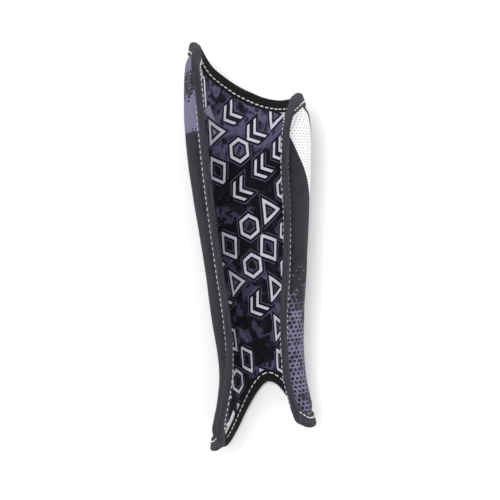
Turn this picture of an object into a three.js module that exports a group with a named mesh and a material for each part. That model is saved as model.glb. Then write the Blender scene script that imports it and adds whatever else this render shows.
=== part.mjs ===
import * as THREE from 'three'

// A field hockey shin guard: a padded shell that curls round the shin, bound with tape round its whole rim.
// It is shaped upright, with its front towards +Y and the leg behind it, and then laid on its front.

// Driving dimensions, in millimetres
const guardHeight = 310        // ankle tip to the long calf peak, before the corners are rounded off
const calfHalfWidth = 47.7     // widest half width, at the calf
const calfFront = 46.5         // how far the front stands before the leg's axis, at the calf
const topDrop = 45.7           // fall of the top edge from the long peak to the short one
const archRise = 48.4          // height of the arch over the instep above the ankle tips
const flapRadius = 24          // round corners of the ankle flaps
const peakRadius = 24          // round corners of the two calf peaks
const coverThick = 3.4         // printed knit over shell and foam, at full thickness
const coverPressed = 1.4       // the same, sewn flat under the tape
const liningThick = 2.2        // padded lining at full thickness
const liningPressed = 1.0      // the same, sewn flat under the tape
const layerGap = 0.3           // between cover and lining
const tapeThick = 0.7          // binding tape
const tapeLeg = 8              // how far the tape reaches in from the rim, on each face
const tapeGap = 0.7            // between the tape and the layers that it folds over
const tapeFold = 1.0           // how far the tape stands past the layers' edge
const puffStart = 2            // how far past the tape the layers begin to swell
const puff = 6                 // distance over which they swell to full thickness
const buttGap = 0.3            // between one length of tape and the next
const flatEdge = 7             // how much of each wing stays flat beside its rim
const seamBend = 6             // distance past it over which the wing bends outwards again

// Depth of a section's leg side as a share of a round one
const rearDepthShare = 0.88

// Sections from the ankle tips up: height as a share of guardHeight, reach to the left and right as shares of
// calfHalfWidth, front as a share of calfFront, how far each wing wraps round from the front and how far it bends
// outwards again beside its rim, in degrees
const SECTIONS = [
  { height: 0.000, left: 0.872, right: 0.924, front: 0.860, leftWrap: 142.1, rightWrap: 134.3, leftBend: 61, rightBend: 72 },
  { height: 0.055, left: 0.819, right: 0.848, front: 0.860, leftWrap: 144.2, rightWrap: 141.0, leftBend: 67, rightBend: 73 },
  { height: 0.110, left: 0.741, right: 0.769, front: 0.860, leftWrap: 147.3, rightWrap: 148.6, leftBend: 70, rightBend: 77 },
  { height: 0.170, left: 0.681, right: 0.705, front: 0.828, leftWrap: 151.9, rightWrap: 155.2, leftBend: 70, rightBend: 83 },
  { height: 0.230, left: 0.683, right: 0.694, front: 0.796, leftWrap: 155.0, rightWrap: 155.6, leftBend: 65, rightBend: 82 },
  { height: 0.310, left: 0.737, right: 0.725, front: 0.806, leftWrap: 154.2, rightWrap: 153.6, leftBend: 52, rightBend: 73 },
  { height: 0.430, left: 0.798, right: 0.808, front: 0.871, leftWrap: 150.0, rightWrap: 148.1, leftBend: 46, rightBend: 62 },
  { height: 0.560, left: 0.889, right: 0.888, front: 0.946, leftWrap: 148.0, rightWrap: 147.8, leftBend: 44, rightBend: 69 },
  { height: 0.700, left: 0.979, right: 0.967, front: 1.000, leftWrap: 146.9, rightWrap: 149.4, leftBend: 38, rightBend: 73 },
  { height: 0.800, left: 1.000, right: 0.984, front: 1.000, leftWrap: 146.9, rightWrap: 142.3, leftBend: 45, rightBend: 73 },
  { height: 0.860, left: 0.993, right: 0.892, front: 0.978, leftWrap: 147.3, rightWrap: 123.0, leftBend: 58, rightBend: 64 },
  { height: 0.920, left: 0.970, right: 0.806, front: 0.946, leftWrap: 145.8, rightWrap: 106.1, leftBend: 68, rightBend: 51 },
  { height: 1.000, left: 0.878, right: 0.695, front: 0.903, leftWrap: 137.7, rightWrap: 85.0, leftBend: 72, rightBend: 34 },
]

// Top and bottom edge from the left rim (-1) past the front (0) to the right rim (1): the top as a share of
// topDrop below guardHeight, the bottom as a share of archRise above the ankle tips
const EDGES = [
  { across: -1.00, drop: 0.070, rise: 0.070 },
  { across: -0.70, drop: 0.055, rise: 0.050 },
  { across: -0.49, drop: 0.085, rise: 0.040 },
  { across: -0.40, drop: 0.225, rise: 0.045 },
  { across: -0.30, drop: 0.405, rise: 0.260 },
  { across: -0.20, drop: 0.560, rise: 0.595 },
  { across: -0.10, drop: 0.722, rise: 0.855 },
  { across: 0.00, drop: 0.852, rise: 1.000 },
  { across: 0.10, drop: 0.940, rise: 0.955 },
  { across: 0.25, drop: 1.015, rise: 0.650 },
  { across: 0.40, drop: 1.025, rise: 0.425 },
  { across: 0.66, drop: 1.000, rise: 0.355 },
  { across: 1.00, drop: 1.000, rise: 0.375 },
]

// Where the side tapes give way to the top and the instep tape, on the same scale across
const topTapeEndShares = { left: -0.49, right: 0.45 }
const instepTapeEndShares = { left: -0.45, right: 0.52 }

// Mesh density: columns across and rows up between the close ones beside the rims
const middleColumns = 16
const middleRows = 17
const closeColumns = [0, 0.1, 0.25, 0.4, 0.55, 0.7, 0.85, 1, 1.4]   // shares of flatEdge and seamBend together
const closeRows = [0, 0.5, 1, 1.75]                            // shares of tapeLeg

// A smooth curve through one column of a table, which may be read at any place along its key
function along(table, key, column, at) {
  const last = table.length - 1
  const slope = (k) => (table[k + 1][column] - table[k][column]) / (table[k + 1][key] - table[k][key])
  const tangent = (k) => {
    if (k === 0) return slope(0)
    if (k === last) return slope(last - 1)
    const before = table[k][key] - table[k - 1][key]
    const after = table[k + 1][key] - table[k][key]
    return (before * slope(k) + after * slope(k - 1)) / (before + after)
  }
  let k = 0
  while (k < last - 1 && at > table[k + 1][key]) k++
  const span = table[k + 1][key] - table[k][key]
  const t = (at - table[k][key]) / span
  const ease = t * t * (3 - 2 * t)
  return table[k][column] * (1 - ease) + table[k + 1][column] * ease
    + span * (tangent(k) * t * (1 - t) ** 2 - tangent(k + 1) * t * t * (1 - t))
}

const wingOf = (across) => (across < 0 ? 'left' : 'right')
const reachAt = (z, wing) => calfHalfWidth * along(SECTIONS, 'height', wing, z / guardHeight)
const wrapAt = (z, wing) => THREE.MathUtils.degToRad(along(SECTIONS, 'height', `${wing}Wrap`, z / guardHeight))
const bendAt = (z, wing) => THREE.MathUtils.degToRad(along(SECTIONS, 'height', `${wing}Bend`, z / guardHeight))

// A point of the guard at an angle round from the front and a height, lifted off the outer face by a distance.
// Each wing follows an oval, bends outwards beside its seam and goes on straight up to the side rim.
function shellPoint(angle, z, lift) {
  const wing = wingOf(angle)
  const side = angle < 0 ? -1 : 1
  const mean = (reachAt(z, 'left') + reachAt(z, 'right')) / 2
  const reach = reachAt(z, wing)
  const depth = Math.cos(angle) < 0 ? mean * rearDepthShare : mean
  const middle = calfFront * along(SECTIONS, 'height', 'front', z / guardHeight) - mean
  const outward = new THREE.Vector3(Math.sin(angle) * depth, Math.cos(angle) * reach, 0).normalize()
  const rimward = new THREE.Vector3(Math.cos(angle) * reach * side, -Math.sin(angle) * depth * side, 0).normalize()
  const toRim = (wrapAt(z, wing) - Math.abs(angle)) * reach
  const bent = THREE.MathUtils.clamp(flatEdge + seamBend - toRim, 0, seamBend)
  const beyond = Math.max(0, flatEdge - toRim)
  const tilt = bendAt(z, wing) * bent / seamBend
  const radius = seamBend / bendAt(z, wing)
  const raised = radius * (1 - Math.cos(tilt)) + beyond * Math.sin(tilt) + lift * Math.cos(tilt)
  const shifted = radius * Math.sin(tilt) - bent + beyond * (Math.cos(tilt) - 1) - lift * Math.sin(tilt)
  return new THREE.Vector3(reach * Math.sin(angle), middle + depth * Math.cos(angle), z)
    .addScaledVector(outward, raised).addScaledVector(rimward, shifted)
}

// Height of the top and bottom edge, rounded off at the corners
function edgeHeights(across) {
  const wing = wingOf(across)
  const column = (name) => along(EDGES, 'across', name, across)
  const top = guardHeight - topDrop * column('drop')
  const bottom = archRise * column('rise')
  const toRim = (z) => (1 - Math.abs(across)) * wrapAt(z, wing) * reachAt(z, wing)
  const cornerCut = (z, radius) => {
    const t = Math.max(0, 1 - toRim(z) / radius)
    return radius * (1 - Math.sqrt(Math.max(0, 1 - t * t)))
  }
  return { top: top - cornerCut(top, peakRadius), bottom: bottom + cornerCut(bottom, flapRadius) }
}

// The grid that both layers share, as angle and height; the columns and rows crowd beside the rims
function makeGrid() {
  const columns = closeColumns.length * 2 + middleColumns - 1
  const rows = closeRows.length * 2 + middleRows - 1
  const closeShare = (close, k, count, unit) => {
    const mirrored = Math.min(k, count - 1 - k)
    const inner = close[close.length - 1] * unit
    if (mirrored < close.length) return { share: close[mirrored] * unit, fromEnd: k > mirrored }
    const step = (1 - 2 * inner) / (count - 2 * close.length + 1)
    return { share: inner + step * (k - close.length + 1), fromEnd: false }
  }
  const acrossAt = (j, z) => {
    const half = (wing) => wrapAt(z, wing) * reachAt(z, wing)
    const wing = j < columns / 2 ? 'left' : 'right'
    const { share, fromEnd } = closeShare(closeColumns, j, columns, (flatEdge + seamBend) / (2 * half(wing)))
    return fromEnd ? 1 - 2 * share : 2 * share - 1
  }
  const grid = []
  for (let i = 0; i < rows; i++) {
    const row = []
    for (let j = 0; j < columns; j++) {
      const rimEdges = edgeHeights(j < columns / 2 ? -1 : 1)
      const rimHeight = THREE.MathUtils.lerp(rimEdges.bottom, rimEdges.top, i / (rows - 1))
      const across = acrossAt(j, rimHeight)
      const { top, bottom } = edgeHeights(across)
      const { share, fromEnd } = closeShare(closeRows, i, rows, tapeLeg / (top - bottom))
      const z = THREE.MathUtils.lerp(bottom, top, fromEnd ? 1 - share : share)
      row.push({ across, z, angle: across * wrapAt(z, wingOf(across)) })
    }
    grid.push(row)
  }
  return grid
}

// The grid's outline as one loop: along the bottom to the right, up, back along the top and down
function outlineOf(grid) {
  const top = grid.length - 1
  const side = grid[0].length - 1
  return [
    ...grid[0].slice(0, side),
    ...grid.slice(0, top).map((row) => row[side]),
    ...grid[top].slice(1).reverse(),
    ...grid.slice(1).map((row) => row[0]).reverse(),
  ]
}

// Distance of a grid point from the outline
function fromRim(spot, rimPoints) {
  const here = shellPoint(spot.angle, spot.z, 0)
  const foot = new THREE.Vector3()
  let nearest = Infinity
  rimPoints.forEach((point, k) => {
    new THREE.Line3(point, rimPoints[(k + 1) % rimPoints.length]).closestPointToPoint(here, true, foot)
    nearest = Math.min(nearest, foot.distanceTo(here))
  })
  return nearest
}

// Lifts of the four layer faces: full in the field, pressed flat under the tape
const wallThick = coverThick + layerGap + liningThick
const boundThick = coverPressed + layerGap + liningPressed
const boundTop = (boundThick - wallThick) / 2
const FACES = {
  coverOut: { full: 0, bound: boundTop },
  coverIn: { full: -coverThick, bound: boundTop - coverPressed },
  liningOut: { full: -coverThick - layerGap, bound: boundTop - coverPressed - layerGap },
  liningIn: { full: -wallThick, bound: boundTop - boundThick },
}
const swell = (distance) => THREE.MathUtils.smoothstep(distance, tapeLeg + puffStart, tapeLeg + puffStart + puff)
const liftOf = (face, distance) => THREE.MathUtils.lerp(face.bound, face.full, swell(distance))

// A closed body from two sheets of points with the same rows and columns, the first one outside
function bodyBetween(outer, inner) {
  const rows = outer.length
  const columns = outer[0].length
  const points = [...outer.flat(), ...inner.flat()]
  const at = (sheet, i, j) => sheet * rows * columns + i * columns + j
  const faces = []
  const quad = (a, b, c, d) => faces.push(a, b, c, a, c, d)
  for (let i = 0; i < rows - 1; i++) {
    for (let j = 0; j < columns - 1; j++) {
      quad(at(0, i, j), at(0, i + 1, j), at(0, i + 1, j + 1), at(0, i, j + 1))
      quad(at(1, i, j), at(1, i, j + 1), at(1, i + 1, j + 1), at(1, i + 1, j))
    }
  }
  for (let j = 0; j < columns - 1; j++) {
    quad(at(0, 0, j), at(0, 0, j + 1), at(1, 0, j + 1), at(1, 0, j))
    quad(at(0, rows - 1, j + 1), at(0, rows - 1, j), at(1, rows - 1, j), at(1, rows - 1, j + 1))
  }
  for (let i = 0; i < rows - 1; i++) {
    quad(at(0, i + 1, 0), at(0, i, 0), at(1, i, 0), at(1, i + 1, 0))
    quad(at(0, i, columns - 1), at(0, i + 1, columns - 1), at(1, i + 1, columns - 1), at(1, i, columns - 1))
  }
  return geometryOf(points, faces)
}

function geometryOf(points, faces) {
  const geometry = new THREE.BufferGeometry().setFromPoints(points)
  geometry.setIndex(faces)
  return geometry
}

// The tape's section at the rim: how far in from the layers' edge, and how high above their middle
const middleLift = boundTop - boundThick / 2
const tapeInside = boundThick / 2 + tapeGap
const tapeOutside = tapeInside + tapeThick
const legPlaces = [1, 3 / 4, 2 / 4, 1 / 4, 0].map((share) => tapeLeg * share)
const linerPlaces = [tapeLeg, tapeLeg * 3 / 4, tapeLeg * 2 / 4, tapeLeg / 4, -tapeGap]
const tapeSection = [
  ...legPlaces.map((inset) => ({ inset, rise: tapeOutside })),
  { inset: -tapeFold - tapeGap * 0.2, rise: tapeOutside * 0.82 },
  { inset: -tapeFold - tapeGap, rise: tapeOutside * 0.45 },
  { inset: -tapeFold - tapeGap, rise: -tapeOutside * 0.45 },
  { inset: -tapeFold - tapeGap * 0.2, rise: -tapeOutside * 0.82 },
  ...legPlaces.toReversed().map((inset) => ({ inset, rise: -tapeOutside })),
  ...linerPlaces.map((inset) => ({ inset, rise: -tapeInside })),
  ...linerPlaces.toReversed().map((inset) => ({ inset, rise: tapeInside })),
]

// One turn of the tape's section, square to the outline at a place on it, with travel along the outline
function tapeRing(spot, before, after) {
  const tiny = 1e-3
  const perRadian = shellPoint(spot.angle + tiny, spot.z, 0).distanceTo(shellPoint(spot.angle, spot.z, 0)) / tiny
  const run = new THREE.Vector2((after.angle - before.angle) * perRadian, after.z - before.z).normalize()
  const inward = new THREE.Vector2(-run.y / perRadian, run.x)
  return tapeSection.map(({ inset, rise }) => shellPoint(
    spot.angle + inward.x * inset, spot.z + inward.y * inset, middleLift + rise))
}

// A length of tape along the outline from one station to another, trimmed at both ends
function tapeLength(outline, from, to) {
  const count = (to - from + outline.length) % outline.length
  const station = (k) => outline[(from + k + outline.length) % outline.length]
  const between = (a, b, distance) => {
    const span = shellPoint(a.angle, a.z, 0).distanceTo(shellPoint(b.angle, b.z, 0))
    const t = distance / span
    return { angle: THREE.MathUtils.lerp(a.angle, b.angle, t), z: THREE.MathUtils.lerp(a.z, b.z, t) }
  }
  const rings = []
  for (let k = 0; k <= count; k++) {
    const trimmed = k === 0 ? between(station(0), station(1), buttGap / 2)
      : k === count ? between(station(count), station(count - 1), buttGap / 2) : station(k)
    rings.push(tapeRing(trimmed, station(k - 1), station(k + 1)))
  }
  return tubeThrough(rings)
}

// A closed tube through rings of points, flat at both ends
function tubeThrough(rings) {
  const size = rings[0].length
  const faces = []
  rings.slice(1).forEach((_, k) => {
    for (let s = 0; s < size; s++) {
      const a = k * size + s
      const b = k * size + (s + 1) % size
      faces.push(a, a + size, b + size, a, b + size, b)
    }
  })
  const last = (rings.length - 1) * size
  THREE.ShapeUtils.triangulateShape(tapeSection.map(({ inset, rise }) => new THREE.Vector2(inset, rise)), [])
    .forEach(([a, b, c]) => faces.push(a, b, c, last + c, last + b, last + a))
  return geometryOf(rings.flat(), faces)
}

const FINISHES = {
  printedKnit: new THREE.MeshStandardMaterial({ color: 0x4c4858, roughness: 0.85, metalness: 0 }),
  printedLining: new THREE.MeshStandardMaterial({ color: 0x57526c, roughness: 0.8, metalness: 0 }),
  charcoalTape: new THREE.MeshStandardMaterial({ color: 0x454449, roughness: 0.75, metalness: 0 }),
  blackTape: new THREE.MeshStandardMaterial({ color: 0x1d1d20, roughness: 0.8, metalness: 0 }),
}

function namedMesh(name, geometry, finish) {
  geometry.computeVertexNormals()
  const mesh = new THREE.Mesh(geometry, FINISHES[finish])
  mesh.name = name
  return mesh
}

// The whole guard, upright
function makeGuard() {
  const grid = makeGrid()
  const outline = outlineOf(grid)
  const rimPoints = outline.map(({ angle, z }) => shellPoint(angle, z, 0))
  const distances = grid.map((row) => row.map((spot) => fromRim(spot, rimPoints)))
  const sheet = (face) => grid.map((row, i) => row.map(
    ({ angle, z }, j) => shellPoint(angle, z, liftOf(face, distances[i][j]))))
  const nearestColumn = (share, row) => {
    const gaps = row.map(({ across }) => Math.abs(across - share))
    return gaps.indexOf(Math.min(...gaps))
  }
  const columns = grid[0].length
  const rows = grid.length
  const topRow = grid[rows - 1]
  const bottomStation = (share) => nearestColumn(share, grid[0])
  const topStation = (share) => (columns - 1) + (rows - 1) + (columns - 1) - nearestColumn(share, topRow)
  const instep = [bottomStation(instepTapeEndShares.left), bottomStation(instepTapeEndShares.right)]
  const top = [topStation(topTapeEndShares.right), topStation(topTapeEndShares.left)]
  const guard = new THREE.Group()
  guard.add(
    namedMesh('outer_cover', bodyBetween(sheet(FACES.coverOut), sheet(FACES.coverIn)), 'printedKnit'),
    namedMesh('lining', bodyBetween(sheet(FACES.liningOut), sheet(FACES.liningIn)), 'printedLining'),
    namedMesh('side_binding_left', tapeLength(outline, top[1], instep[0]), 'charcoalTape'),
    namedMesh('side_binding_right', tapeLength(outline, instep[1], top[0]), 'charcoalTape'),
    namedMesh('top_binding', tapeLength(outline, top[0], top[1]), 'blackTape'),
    namedMesh('instep_binding', tapeLength(outline, instep[0], instep[1]), 'blackTape'),
  )
  return guard
}

// Centre of mass of the guard's solids, from the tetrahedra under their faces
function massCentre(guard) {
  const total = new THREE.Vector3()
  let volume = 0
  guard.children.forEach(({ geometry }) => {
    const place = geometry.getAttribute('position')
    const order = geometry.getIndex().array
    for (let k = 0; k < order.length; k += 3) {
      const [a, b, c] = [0, 1, 2].map((n) => new THREE.Vector3().fromBufferAttribute(place, order[k + n]))
      const piece = a.dot(new THREE.Vector3().crossVectors(b, c)) / 6
      total.addScaledVector(a.add(b).add(c), piece / 4)
      volume += piece
    }
  })
  return total.divideScalar(volume)
}

// Turns that lay the guard on its front: nod about X, then roll about its length, as it settles by itself.
// The lowest place of the centre of mass over the floor is found by trying smaller and smaller turns.
function layOnFront(guard) {
  const centre = massCentre(guard)
  const points = guard.children.flatMap(({ geometry }) => {
    const place = geometry.getAttribute('position')
    return Array.from({ length: place.count }, (_, k) => new THREE.Vector3().fromBufferAttribute(place, k))
  })
  const turnOf = (nod, roll) => new THREE.Quaternion()
    .setFromEuler(new THREE.Euler(nod - Math.PI / 2, 0, roll, 'XYZ'))
  const heightOf = (nod, roll) => {
    const down = new THREE.Vector3(0, 0, 1).applyQuaternion(turnOf(nod, roll).invert())
    return down.dot(centre) - Math.min(...points.map((point) => down.dot(point)))
  }
  let best = { nod: 0, roll: 0, height: heightOf(0, 0) }
  const finestTurn = 1e-6
  const smallestFall = 1e-9
  for (let step = THREE.MathUtils.degToRad(4); step > finestTurn; step /= 2) {
    for (let again = true; again;) {
      again = false
      for (const [dn, dr] of [[1, 0], [-1, 0], [0, 1], [0, -1], [1, 1], [-1, -1], [1, -1], [-1, 1]]) {
        const nod = best.nod + dn * step
        const roll = best.roll + dr * step
        const height = heightOf(nod, roll)
        if (height < best.height - smallestFall) {
          best = { nod, roll, height }
          again = true
        }
      }
    }
  }
  guard.quaternion.copy(turnOf(best.nod, best.roll))
  const box = new THREE.Box3().setFromObject(guard, true)
  guard.position.set(-(box.min.x + box.max.x) / 2, -(box.min.y + box.max.y) / 2, -box.min.z)
}

const shinGuard = new THREE.Group()
const guard = makeGuard()
layOnFront(guard)
shinGuard.add(guard)

export default shinGuard
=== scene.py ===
"""A field hockey shin guard, lying on its front with its padded hollow up, on a plain pale floor."""
import math
from collections import namedtuple

import bpy
import numpy as np
from mathutils import Matrix, Vector


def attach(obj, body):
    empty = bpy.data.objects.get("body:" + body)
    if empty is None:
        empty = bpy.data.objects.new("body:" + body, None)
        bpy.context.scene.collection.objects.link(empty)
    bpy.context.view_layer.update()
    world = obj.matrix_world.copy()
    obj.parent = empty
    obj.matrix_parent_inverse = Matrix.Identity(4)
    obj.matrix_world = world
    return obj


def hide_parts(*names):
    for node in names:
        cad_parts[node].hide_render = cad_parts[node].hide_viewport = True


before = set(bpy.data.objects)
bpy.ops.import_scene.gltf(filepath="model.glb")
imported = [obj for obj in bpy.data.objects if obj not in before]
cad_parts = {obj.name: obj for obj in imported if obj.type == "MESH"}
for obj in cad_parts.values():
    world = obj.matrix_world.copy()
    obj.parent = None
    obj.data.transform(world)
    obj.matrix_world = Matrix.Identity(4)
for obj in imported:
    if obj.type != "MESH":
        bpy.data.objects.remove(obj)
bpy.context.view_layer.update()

bl_info = {
    "name": "Field Hockey Shin Guard",
    "version": (1, 0, 0),
    "blender": (4, 5, 0),
    "location": "View3D > Sidebar > Shin Guard",
    "description": "Builds a padded, taped and stitched shin guard round its CAD frame",
    "category": "Add Mesh",
}

MM = 0.001

# Shape of the guard, standing upright with its front towards +Y, in metres
GUARD_HEIGHT = 310.0 * MM
CALF_HALF_WIDTH = 47.7 * MM
CALF_FRONT = 46.5 * MM
TOP_DROP = 45.7 * MM
ARCH_RISE = 48.4 * MM
CORNER_RADIUS = 24.0 * MM
REAR_DEPTH = 0.88
FLAT_EDGE = 7.0 * MM
SEAM_BEND = 6.0 * MM
COVER_THICK = 3.4 * MM
LINING_THICK = 2.2 * MM
LAYER_GAP = 0.3 * MM
COVER_PRESSED = 1.4 * MM
LINING_PRESSED = 1.0 * MM

# How the guard settles on its front: a roll about its own length, a nod onto its front, then a shift
REST_NOD = 2.5
REST_ROLL = -4.7509
REST_TURN = (Matrix.Rotation(math.radians(REST_NOD - 90), 3, "X")
             @ Matrix.Rotation(math.radians(REST_ROLL), 3, "Z"))
REST_SHIFT = Vector((0.3496, -155.0768, 36.9054)) * MM

# Sections from the ankle tips up: height as a share of GUARD_HEIGHT, reach to each side as shares of
# CALF_HALF_WIDTH, front as a share of CALF_FRONT, how far each wing wraps round from the front and how far it
# bends outwards beside its rim, in degrees
Section = namedtuple("Section", "height left right front left_wrap right_wrap left_bend right_bend")
SECTIONS = (
    Section(0.000, 0.872, 0.924, 0.860, 142.1, 134.3, 61, 72),
    Section(0.055, 0.819, 0.848, 0.860, 144.2, 141.0, 67, 73),
    Section(0.110, 0.741, 0.769, 0.860, 147.3, 148.6, 70, 77),
    Section(0.170, 0.681, 0.705, 0.828, 151.9, 155.2, 70, 83),
    Section(0.230, 0.683, 0.694, 0.796, 155.0, 155.6, 65, 82),
    Section(0.310, 0.737, 0.725, 0.806, 154.2, 153.6, 52, 73),
    Section(0.430, 0.798, 0.808, 0.871, 150.0, 148.1, 46, 62),
    Section(0.560, 0.889, 0.888, 0.946, 148.0, 147.8, 44, 69),
    Section(0.700, 0.979, 0.967, 1.000, 146.9, 149.4, 38, 73),
    Section(0.800, 1.000, 0.984, 1.000, 146.9, 142.3, 45, 73),
    Section(0.860, 0.993, 0.892, 0.978, 147.3, 123.0, 58, 64),
    Section(0.920, 0.970, 0.806, 0.946, 145.8, 106.1, 68, 51),
    Section(1.000, 0.878, 0.695, 0.903, 137.7, 85.0, 72, 34),
)

# Top and bottom edge from the left rim (-1) past the front (0) to the right rim (1): the top as a share of
# TOP_DROP below GUARD_HEIGHT, the bottom as a share of ARCH_RISE above the ankle tips
Edge = namedtuple("Edge", "across drop rise")
EDGES = (
    Edge(-1.00, 0.070, 0.070),
    Edge(-0.70, 0.055, 0.050),
    Edge(-0.49, 0.085, 0.040),
    Edge(-0.40, 0.225, 0.045),
    Edge(-0.30, 0.405, 0.260),
    Edge(-0.20, 0.560, 0.595),
    Edge(-0.10, 0.722, 0.855),
    Edge(0.00, 0.852, 1.000),
    Edge(0.10, 0.940, 0.955),
    Edge(0.25, 1.015, 0.650),
    Edge(0.40, 1.025, 0.425),
    Edge(0.66, 1.000, 0.355),
    Edge(1.00, 1.000, 0.375),
)

# Where the side tapes give way to the top and the instep tape, on the same scale across
TOP_TAPE_ENDS = (-0.49, 0.45)
INSTEP_TAPE_ENDS = (-0.45, 0.52)

# The walls at full thickness and where they are sewn flat, and where the tape's middle then lies
WALL = COVER_THICK + LAYER_GAP + LINING_THICK
BOUND_WALL = COVER_PRESSED + LAYER_GAP + LINING_PRESSED
BOUND_TOP = (BOUND_WALL - WALL) / 2
SEAM_MIDDLE = BOUND_TOP - BOUND_WALL / 2

# Distances from the rim between which the layers swell, and between which the seam's pulls come and go
PUFF = (8.6 * MM, 15.0 * MM)
PULL_COMES = (7.5 * MM, 9.5 * MM)
PULL_GOES = (10.0 * MM, 24.0 * MM)
PULL_PITCH = 9.6 * MM

# The tape is folded over the layers, wanders a little at its edges and is drawn in by its stitches
TAPE_SLACK = 0.10 * MM
TAPE_FOLD = 1.5 * MM
TAPE_WAVER = 0.22 * MM
TAPE_GATHER = 0.10 * MM
TAPE_GATHER_REACH = 1.6 * MM
TAPE_SWELL = 0.06 * MM

# A stitch rises in its middle, dips in at its ends and lies a little askew. The last two are its depth as a
# share of its width, and the height of its axis as a share of the tape's
STITCH_ARCH = 0.12 * MM
STITCH_DIP = 0.5 * MM
STITCH_SLANT = 0.16 * MM
STITCH_JITTER = 0.12 * MM
STITCH_FLATNESS = 0.7
STITCH_SEAT = 0.965

# Mesh density of the layers and of a stitch
LAYER_COLUMNS = 112
LAYER_ROWS = 150
RIM_STEP = 2.0 * MM
END_CROWDING = 0.75
STITCH_RINGS = 9
STITCH_SIDES = 10

# The camera stands before the open side of the upright guard, turned and rolled a little
CAMERA_DISTANCE = 1.1
CAMERA_TURN = math.radians(7.0)
CAMERA_ROLL = math.radians(3.0)
CAMERA_AIM = Vector((-3.3, 0.0, 150.0)) * MM
CAMERA_LENS = 104.9
SENSOR_WIDTH = 36.0

# The stage: half the floor's side in metres, the sky's strength and where the lamps point
FLOOR_HALF = 4.0
SKY_STRENGTH = 0.68
LAMP_AIM = (0, 0, 0.03)


def from_bytes(red, green, blue):
    """A colour as it is seen on a screen, turned into the linear one that shaders use."""
    def linear(value):
        share = value / 255
        return share / 12.92 if share <= 0.04045 else ((share + 0.055) / 1.055) ** 2.4
    return linear(red), linear(green), linear(blue)


def scaled(colour, share):
    """A colour made darker or lighter by a share."""
    return tuple(channel * share for channel in colour)


def length_setting(name, about, default):
    return bpy.props.FloatProperty(
        name=name, description=about, default=default, unit="LENGTH", precision=5)


def colour_setting(name, about, default):
    return bpy.props.FloatVectorProperty(
        name=name, description=about, default=default, size=3, subtype="COLOR", min=0, max=1)


class GuardSizes(bpy.types.PropertyGroup):
    """Sizes of the trim that can be changed by themselves."""
    tape_leg: length_setting("Tape leg", "How far the tape reaches in from the rim on each face", 8.0 * MM)
    tape_thick: length_setting("Tape thickness", "Thickness of the binding tape", 1.1 * MM)
    stitch_inset: length_setting("Stitch inset", "Distance of the seam from the rim", 5.6 * MM)
    stitch_pitch: length_setting("Stitch pitch", "From one stitch to the next", 4.2 * MM)
    stitch_length: length_setting("Stitch length", "Thread that shows of each stitch", 3.35 * MM)
    thread_width: length_setting("Thread width", "Width of the sewing thread", 0.95 * MM)
    mesh_step: length_setting("Mesh step", "Distance between the mesh lines along the tape", 1.4 * MM)


class GuardColours(bpy.types.PropertyGroup):
    """Colours of the print, the tapes and the thread."""
    lavender: colour_setting("Lavender", "Lightest colour of the print", from_bytes(108, 103, 136))
    purple: colour_setting("Purple", "Middle colour of the print", from_bytes(72, 67, 94))
    navy: colour_setting("Navy", "Dark colour of the print", from_bytes(30, 28, 39))
    black: colour_setting("Black", "Darkest colour of the print", from_bytes(15, 13, 20))
    motif: colour_setting("Motif", "Light lines of the lining's print", from_bytes(236, 233, 249))
    graphite: colour_setting("Graphite", "Dark ground of the cover", from_bytes(42, 40, 48))
    white: colour_setting("White", "White panel of the cover", from_bytes(254, 254, 255))
    # The side tapes and the top and instep tape are one dark tape, painted lighter on the sides as painted
    # light and darker at the top and instep as painted shade
    charcoal: colour_setting("Charcoal", "Side tapes", from_bytes(56, 55, 64))
    shaded_tape_colour: colour_setting("Shaded tape", "Top and instep tape", from_bytes(27, 27, 30))
    thread: colour_setting("Thread", "Sewing thread", from_bytes(250, 250, 252))
    floor: colour_setting("Floor", "Plain pale floor", from_bytes(252, 252, 253))


# Shape

def along(table, key, name, at):
    """A smooth curve through one column of a table, read at any places along its key."""
    keys = np.array([getattr(row, key) for row in table])
    values = np.array([getattr(row, name) for row in table])
    spans = np.diff(keys)
    slopes = np.diff(values) / spans
    inner = (spans[:-1] * slopes[1:] + spans[1:] * slopes[:-1]) / (spans[:-1] + spans[1:])
    tangents = np.concatenate([slopes[:1], inner, slopes[-1:]])
    at = np.asarray(at, float)
    k = np.clip(np.searchsorted(keys, at, side="right") - 1, 0, len(spans) - 1)
    t = (at - keys[k]) / spans[k]
    ease = t * t * (3 - 2 * t)
    rise = tangents[k] * t * (1 - t) ** 2 - tangents[k + 1] * t * t * (1 - t)
    return values[k] * (1 - ease) + values[k + 1] * ease + spans[k] * rise


def reach_at(height, wing):
    """How far the guard reaches to this side of the leg's axis."""
    return CALF_HALF_WIDTH * along(SECTIONS, "height", wing, height / GUARD_HEIGHT)


def wrap_at(height, across):
    """How far round from the front the wing on this side goes, in radians."""
    left = along(SECTIONS, "height", "left_wrap", height / GUARD_HEIGHT)
    right = along(SECTIONS, "height", "right_wrap", height / GUARD_HEIGHT)
    return np.radians(np.where(np.asarray(across) < 0, left, right))


def bend_at(height, across):
    """How far the wing on this side bends outwards beside its seam, in radians."""
    left = along(SECTIONS, "height", "left_bend", height / GUARD_HEIGHT)
    right = along(SECTIONS, "height", "right_bend", height / GUARD_HEIGHT)
    return np.radians(np.where(np.asarray(across) < 0, left, right))


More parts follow.
